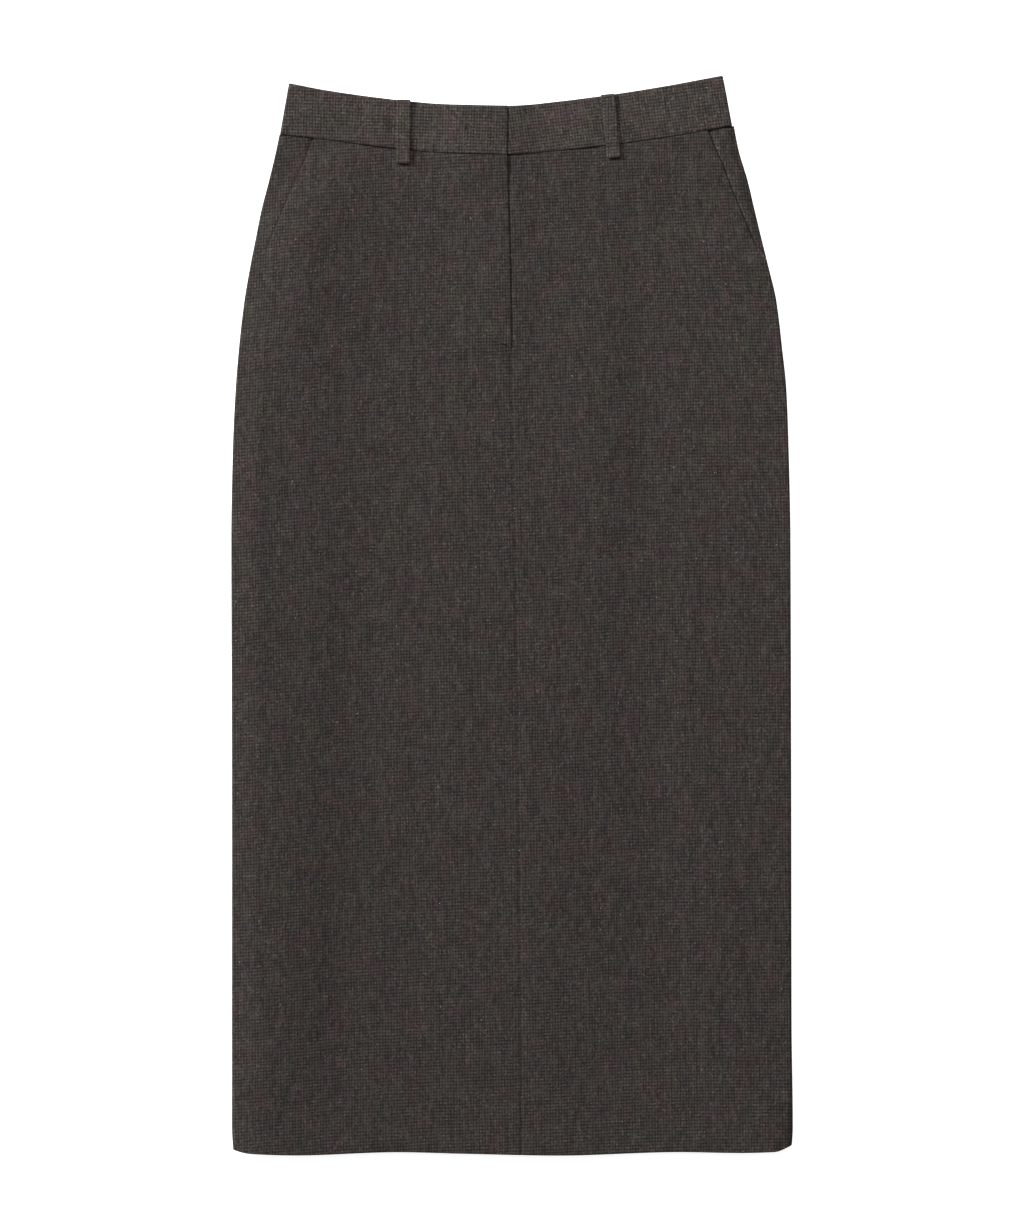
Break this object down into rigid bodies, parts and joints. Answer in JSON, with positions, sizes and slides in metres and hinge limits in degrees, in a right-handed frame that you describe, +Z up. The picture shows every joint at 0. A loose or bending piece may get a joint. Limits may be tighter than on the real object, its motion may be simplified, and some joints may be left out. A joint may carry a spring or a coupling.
{
  "type": "pencil skirt",
  "caption": "Long straight pencil skirt in a small woven wool check, laid flat front up, with a waistband, lapped fly front, slanted hip pockets and belt loops.",
  "frame": {"origin": "middle of the outline, on the surface that the skirt lies on", "axes": "+Z up out of the front of the skirt, +Y along it to the waist, +X to the viewer's right when looking down at the front, which is the wearer's left"},
  "size_m": [0.4652, 0.8956, 0.0107],
  "materials": {
    "wool": "matt dark brown-grey wool cloth with a very small woven check and a short nap",
    "wool_band": "the same wool cloth, doubled over a stiffening and pressed flat",
    "wool_loop": "the same wool cloth, folded into a narrow pressed strip"
  },
  "bodies": {
    "root": {"front_right": "wool", "front_left": "wool", "pocket_facing_right": "wool", "pocket_facing_left": "wool", "back_right": "wool", "back_left": "wool", "waistband_front_right": "wool_band", "waistband_front_left": "wool_band", "waistband_back": "wool_band", "belt_loop_front_right": "wool_loop", "belt_loop_front_left": "wool_loop", "belt_loop_back_right": "wool_loop", "belt_loop_back_centre": "wool_loop", "belt_loop_back_left": "wool_loop"}
  },
  "joints": []
}
